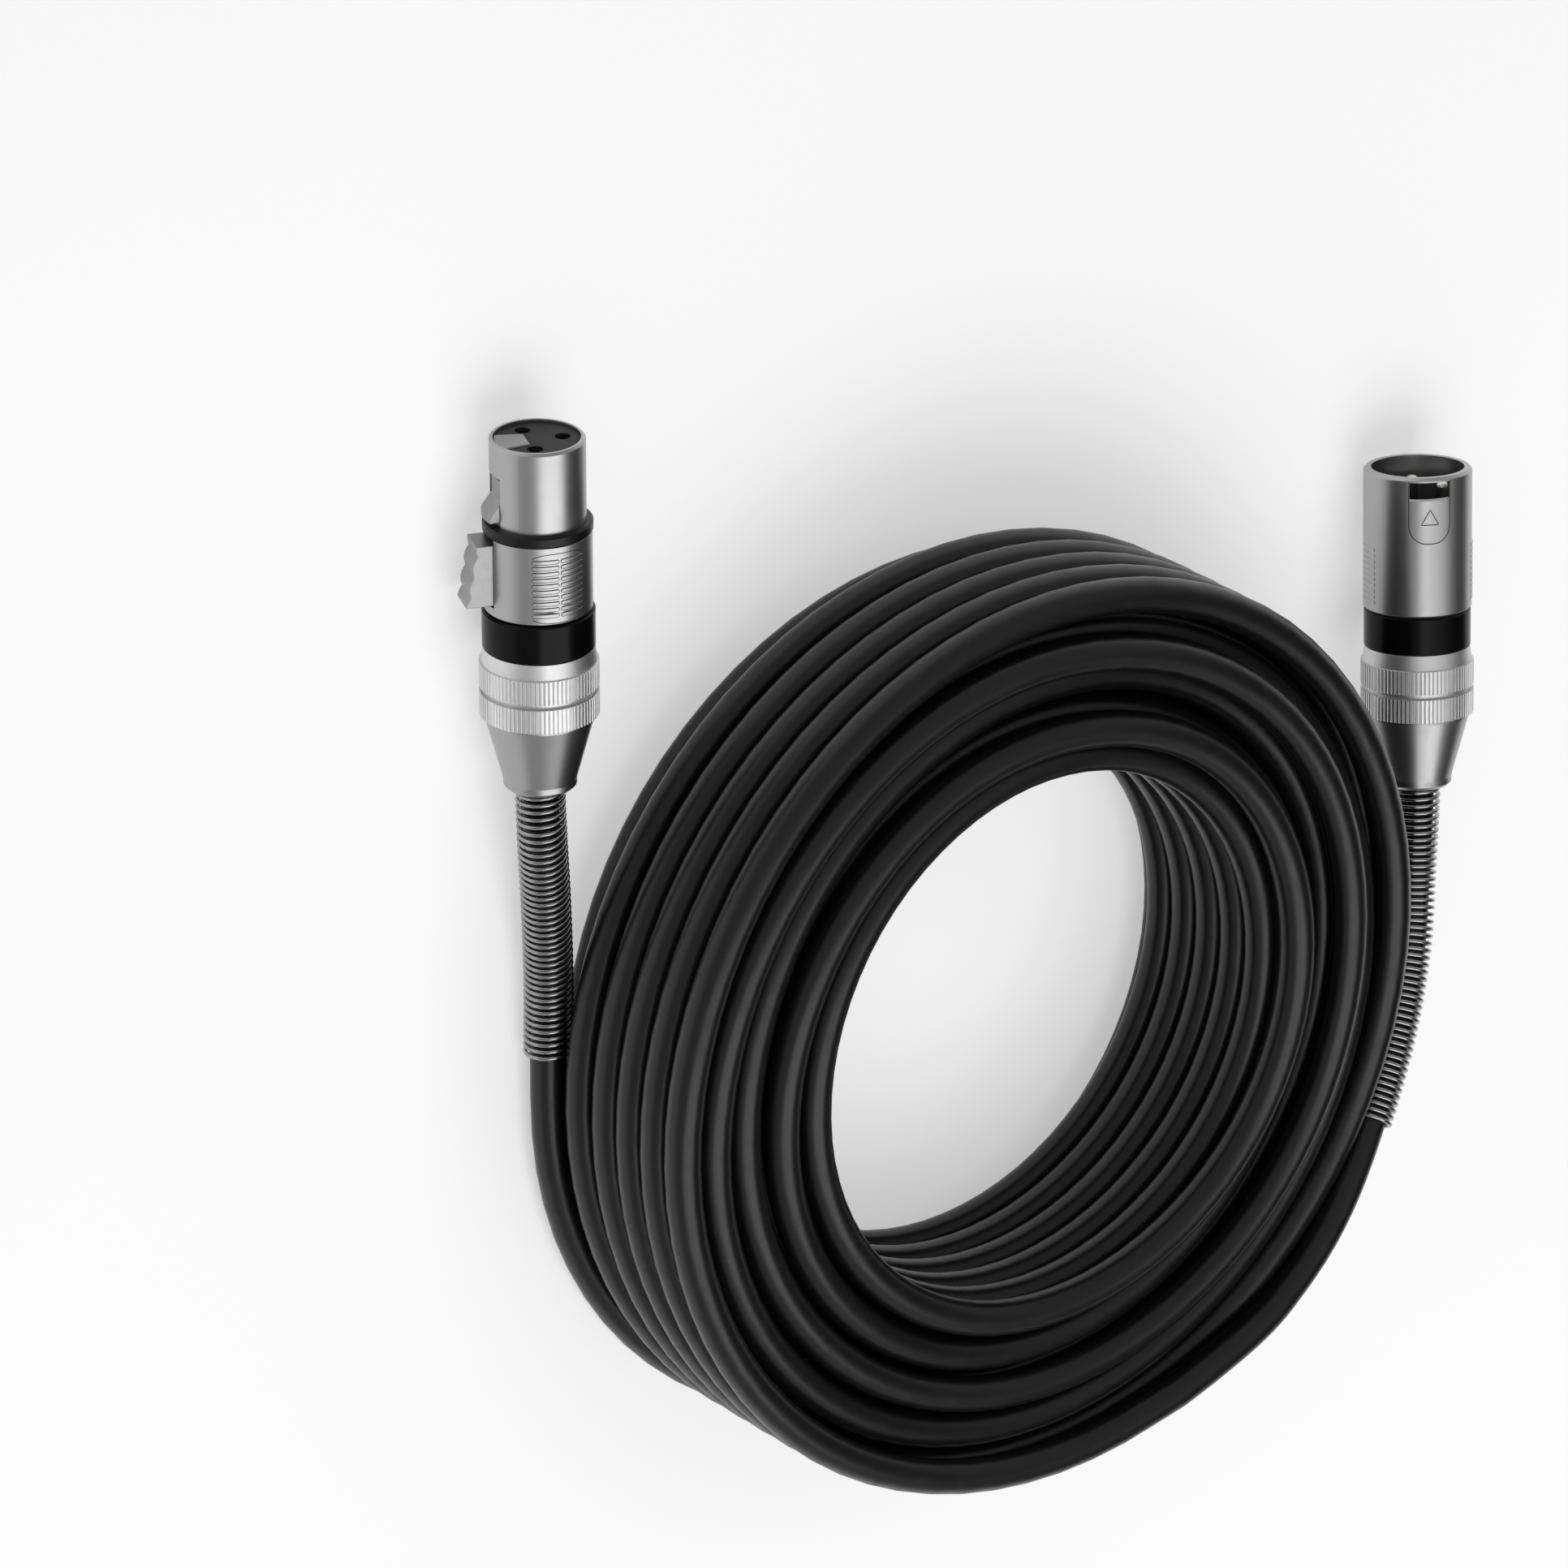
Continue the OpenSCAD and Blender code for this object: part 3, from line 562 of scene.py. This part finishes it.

# The edge colour of each finish that has an edge radius is painted on its rounded edges: a
# painted highlight together with wear.
finishes = {
    "jacket": {"color": (0.0040, 0.0040, 0.0043), "worn": (0.008, 0.008, 0.0085), "metallic": 0,
               "roughness": (0.32, 0.42), "grain": 1400, "patch": 45, "depth": 0.005,
               "specular": 0.42},
    "springSteel": {"color": (0.37, 0.37, 0.37), "worn": (0.30, 0.30, 0.30), "metallic": 1,
                    "roughness": (0.18, 0.26), "grain": 3000, "patch": 120, "depth": 0.004},
    "satinNickel": {"color": (0.43, 0.43, 0.43), "worn": (0.40, 0.40, 0.40), "metallic": 1,
                    "roughness": (0.33, 0.37), "grain": 4200, "patch": 60, "depth": 0.0010,
                    "edge": 0.15, "bare": (0.62, 0.62, 0.62)},
    "latchNickel": {"color": (0.34, 0.34, 0.34), "worn": (0.31, 0.31, 0.31), "metallic": 1,
                    "roughness": (0.42, 0.48), "grain": 4200, "patch": 150, "depth": 0.002,
                    "edge": 0.25, "bare": (0.5, 0.5, 0.5)},
    "knurledNickel": {"color": (0.74, 0.74, 0.74), "worn": (0.66, 0.66, 0.66), "metallic": 1,
                      "roughness": (0.42, 0.48), "grain": 5200, "patch": 200, "depth": 0.0015,
                      "edge": 0.1, "bare": (0.75, 0.75, 0.75)},
    "coneNickel": {"color": (0.38, 0.38, 0.38), "worn": (0.35, 0.35, 0.35), "metallic": 1,
                   "roughness": (0.32, 0.36), "grain": 5200, "patch": 90, "depth": 0.0008,
                   "lines": 5000, "lineDepth": 0.0006, "edge": 0.15, "bare": (0.6, 0.6, 0.6),
                   "band": (0.66, 0.66, 0.66), "bandFrom": 13.2},  # mm from its rear end
    "glossBlack": {"color": (0.002, 0.002, 0.002), "worn": (0.003, 0.003, 0.003),
                   "metallic": 0, "roughness": (0.22, 0.28), "grain": 900, "patch": 80,
                   "depth": 0.001, "specular": 0.12, "edge": 0.12, "bare": (0.03, 0.03, 0.03)},
    "sealRubber": {"color": (0.004, 0.004, 0.004), "worn": (0.007, 0.007, 0.007), "metallic": 0,
                   "roughness": (0.34, 0.44), "grain": 3000, "patch": 200, "depth": 0.006,
                   "specular": 0.28},
    "insertPlastic": {"color": (0.017, 0.017, 0.017), "worn": (0.022, 0.022, 0.022),
                      "metallic": 0, "roughness": (0.5, 0.6), "grain": 3500, "patch": 200,
                      "depth": 0.01, "specular": 0.25},
    "contactGold": {"color": (0.55, 0.40, 0.18), "worn": (0.42, 0.3, 0.13), "metallic": 1,
                    "roughness": (0.24, 0.32), "grain": 3000, "patch": 300, "depth": 0.004},
    "pinSilver": {"color": (0.74, 0.73, 0.71), "worn": (0.6, 0.59, 0.57), "metallic": 1,
                  "roughness": (0.16, 0.24), "grain": 3000, "patch": 300, "depth": 0.004},
    "clampPlastic": {"color": (0.62, 0.61, 0.57), "worn": (0.5, 0.49, 0.45), "metallic": 0,
                     "roughness": (0.4, 0.5), "grain": 2500, "patch": 120, "depth": 0.01},
    "wireJacket": {"color": (0.35, 0.02, 0.02), "worn": (0.2, 0.01, 0.01), "metallic": 0,
                   "roughness": (0.35, 0.45), "grain": 2500, "patch": 120, "depth": 0.01},
    # Near-black strips laid along grooves and gaps: painted shade.
    "paintedGrooveShade": {"color": (0.03, 0.03, 0.03), "worn": (0.05, 0.05, 0.05), "metallic": 0,
                     "roughness": (0.6, 0.7), "grain": 3000, "patch": 300, "depth": 0.004,
                     "specular": 0.2},
}


def makeMaterial(name, finish, axis=None, rear=None):
    material = bpy.data.materials.new(name)
    material.use_nodes = True
    tree = material.node_tree
    shader = tree.nodes["Principled BSDF"]
    shader.inputs["Metallic"].default_value = finish["metallic"]
    place = addNode(tree, "ShaderNodeTexCoord").outputs["Object"]
    field = addNode(tree, "ShaderNodeGroup", node_tree=grain)
    tree.links.new(place, field.inputs["Vector"])
    field.inputs["Scale"].default_value = finish["grain"]
    field.inputs["Patch Scale"].default_value = finish["patch"]
    marks = addNode(tree, "ShaderNodeGroup", node_tree=handlingMarks)
    tree.links.new(place, marks.inputs["Vector"])
    marks.inputs["Scale"].default_value = finish["patch"] * wearAndEdgeHighlight["markScale"]
    marks.inputs["Coverage"].default_value = wearAndEdgeHighlight["markCoverage"]
    tone = addNode(tree, "ShaderNodeMix", {"Factor": field.outputs["Patches"],
                   "A": (*finish["color"], 1), "B": (*finish["worn"], 1)},
                   data_type="RGBA").outputs["Result"]
    if axis is not None:
        band = addNode(tree, "ShaderNodeGroup", node_tree=bandMask)
        tree.links.new(place, band.inputs["Vector"])
        band.inputs["Axis"].default_value = axis
        band.inputs["Height"].default_value = rear.dot(axis) + finish["bandFrom"] * mm
        tone = addNode(tree, "ShaderNodeMix", {"Factor": band.outputs["Mask"], "A": tone,
                       "B": (*finish["band"], 1)}, data_type="RGBA").outputs["Result"]
    bump = addNode(tree, "ShaderNodeBump", {"Height": field.outputs["Height"],
                   "Strength": 1.0, "Distance": finish["depth"] * mm})
    if "edge" in finish:
        rounded = addNode(tree, "ShaderNodeBevel", {"Radius": finish["edge"] * mm},
                          samples=wearAndEdgeHighlight["edgeSamples"])
        tree.links.new(rounded.outputs["Normal"], bump.inputs["Normal"])
        # Rounded edges take a lighter colour: a painted highlight along the edges, together with
        # wear.
        worn = addNode(tree, "ShaderNodeGroup", node_tree=edgeHighlightAndWear)
        tree.links.new(rounded.outputs["Normal"], worn.inputs["Rounded"])
        tree.links.new(addNode(tree, "ShaderNodeNewGeometry").outputs["Normal"],
                       worn.inputs["Normal"])
        tree.links.new(field.outputs["Patches"], worn.inputs["Breakup"])
        tone = addNode(tree, "ShaderNodeMix", {"Factor": worn.outputs["Mask"], "A": tone,
                       "B": (*finish["bare"], 1)}, data_type="RGBA").outputs["Result"]
    tree.links.new(tone, shader.inputs["Base Color"])
    low, high = finish["roughness"]
    rough = addNode(tree, "ShaderNodeMapRange", {"Value": marks.outputs["Mask"],
                    "To Min": low, "To Max": high})
    tree.links.new(rough.outputs["Result"], shader.inputs["Roughness"])
    shader.inputs["Specular IOR Level"].default_value = finish.get("specular", 0.5)
    if axis is not None:
        lines = addNode(tree, "ShaderNodeGroup", node_tree=turningLines)
        tree.links.new(place, lines.inputs["Vector"])
        lines.inputs["Axis"].default_value = axis
        lines.inputs["Lines Per Metre"].default_value = finish["lines"]
        bump = addNode(tree, "ShaderNodeBump", {"Height": lines.outputs["Height"],
                       "Normal": bump.outputs["Normal"], "Strength": 1.0,
                       "Distance": finish["lineDepth"] * mm})
    tree.links.new(bump.outputs["Normal"], shader.inputs["Normal"])
    return material


# A finish with turning lines gets a material for each boot, since the two lie differently.
materials = {name: makeMaterial(name, finish) for name, finish in finishes.items()
             if "lines" not in finish}


def paint(piece, material):
    piece.data.materials.clear()
    piece.data.materials.append(material)


paint(cablePiece, materials["jacket"])
for piece in springPieces.values():
    paint(piece, materials["springSteel"])
# The grip and tongue strips take a near-black colour that paints the shade in grooves and gaps.
for piece in (gripShadeLines, tongueShadeLines):
    paint(piece, materials["paintedGrooveShade"])
paint(latchGuide, materials["latchNickel"])


crispAngle = 35  # degrees


def smoothRoundFaces(piece):
    # Round faces shade smooth while sharper edges stay crisp.
    piece.data.shade_smooth()
    split = piece.modifiers.new("crispEdges", "EDGE_SPLIT")
    split.split_angle = math.radians(crispAngle)


nodeFinishes = {
    "shell": "satinNickel", "gasket": "sealRubber", "insert": "insertPlastic",
    "contact": "contactGold", "pin": "pinSilver", "latch": "latchNickel",
    "code_ring": "glossBlack", "collar": "knurledNickel", "boot": "coneNickel",
    "clamp": "clampPlastic", "wires": "wireJacket",
}
for side in ("socket", "plug"):
    turn = connectorFrame(side)
    cone = makeMaterial(side + "Cone", finishes["coneNickel"],
                        turn.to_3x3() @ Vector((0, 0, 1)), turn.translation)
    for nodeName, node in nodes.items():
        if not nodeName.startswith(side + "_") or node.hide_render:
            continue
        part = nodeName[len(side) + 1:].rstrip("_123")
        finish = nodeFinishes.get(part, "latchNickel")
        paint(node, cone if part == "boot" else materials[finish])
        smoothRoundFaces(node)
print("finishes made")

# Lengths in metres.
studio = {
    "floorColor": 0.74,
    "floorRoughness": 0.8,
    "floorReach": 5,
    "floorRise": 0.8,  # a rounded rim, so that low views keep a pale background
    "floorSides": 96,
    "rimSteps": 6,
    "floorLift": 0.47,  # brings the floor to white without more light on the cable
    "skyLight": 0.42,
    "darkSide": 0.05,
    "darkDirection": (0.86, -0.40, 0.32),
    "darkRange": (0.70, 0.93),  # where it begins and where it is full, by direction
    "keyPlace": (-0.14, -0.50, 1.10),
    "keySize": (1.25, 0.85),
    "keyPower": 6,  # W
}


def makeStage():
    data = bpy.data.meshes.new("floor")
    reach, rise, sides = studio["floorReach"], studio["floorRise"], studio["floorSides"]
    corners, faces = [], [tuple(range(sides))]
    for step in range(studio["rimSteps"] + 1):
        lean = math.radians(90 * step / studio["rimSteps"])
        radius, height = reach + rise * math.sin(lean), rise * (1 - math.cos(lean))
        for k in range(sides):
            angle = 2 * math.pi * k / sides
            corners.append((radius * math.cos(angle), radius * math.sin(angle), height))
            if step:
                a, b = len(corners) - 1, step * sides + (k + 1) % sides
                faces.append((a, b, b - sides, a - sides))
    data.from_pydata(corners, [], faces)
    data.shade_smooth()
    data.polygons[0].use_smooth = False  # the flat middle
    floor = bpy.data.objects.new("floor", data)
    bpy.context.scene.collection.objects.link(floor)
    material = bpy.data.materials.new("paleFloor")
    material.use_nodes = True
    tree = material.node_tree
    shader = tree.nodes["Principled BSDF"]
    shader.inputs["Base Color"].default_value = (*[studio["floorColor"]] * 3, 1)
    shader.inputs["Roughness"].default_value = studio["floorRoughness"]
    shader.inputs["Specular IOR Level"].default_value = 0.0
    shader.inputs["Emission Color"].default_value = (1, 1, 1, 1)
    path = addNode(tree, "ShaderNodeLightPath")
    seen = addNode(tree, "ShaderNodeMath", {0: path.outputs["Is Camera Ray"],
                   1: path.outputs["Is Glossy Ray"]}, operation="ADD")
    seen = addNode(tree, "ShaderNodeMath", {0: seen.outputs["Value"],
                   1: path.outputs["Is Transmission Ray"]}, operation="ADD", use_clamp=True)
    lift = addNode(tree, "ShaderNodeMath", {0: seen.outputs["Value"], 1: studio["floorLift"]},
                   operation="MULTIPLY")
    tree.links.new(lift.outputs["Value"], shader.inputs["Emission Strength"])
    paint(floor, material)


def makeLamp(name, place, size, power):
    data = bpy.data.lights.new(name, "AREA")
    data.shape = "RECTANGLE"
    data.size, data.size_y = size
    data.energy = power
    lamp = bpy.data.objects.new(name, data)
    bpy.context.scene.collection.objects.link(lamp)
    lamp.location = place
    lamp.rotation_euler = (-Vector(place)).to_track_quat("-Z", "Y").to_euler()


def makeWorld():
    # An even sky with a darker side, which gives metal its contrast.
    world = bpy.data.worlds.new("studio")
    bpy.context.scene.world = world
    world.use_nodes = True
    tree = world.node_tree
    tree.nodes["Background"].inputs["Color"].default_value = (1, 1, 1, 1)
    way = addNode(tree, "ShaderNodeTexCoord").outputs["Generated"]
    facing = addNode(tree, "ShaderNodeVectorMath", {0: way, 1: studio["darkDirection"]},
                     operation="DOT_PRODUCT")
    begins, full = studio["darkRange"]
    sky = addNode(tree, "ShaderNodeMapRange", {"Value": facing.outputs["Value"],
                  "From Min": begins, "From Max": full, "To Min": studio["skyLight"],
                  "To Max": studio["darkSide"]}, interpolation_type="SMOOTHSTEP")
    tree.links.new(sky.outputs["Result"], tree.nodes["Background"].inputs["Strength"])


makeStage()
makeWorld()
makeLamp("keyLamp", studio["keyPlace"], studio["keySize"], studio["keyPower"])
bpy.context.scene.view_settings.view_transform = "Standard"
print("studio made")
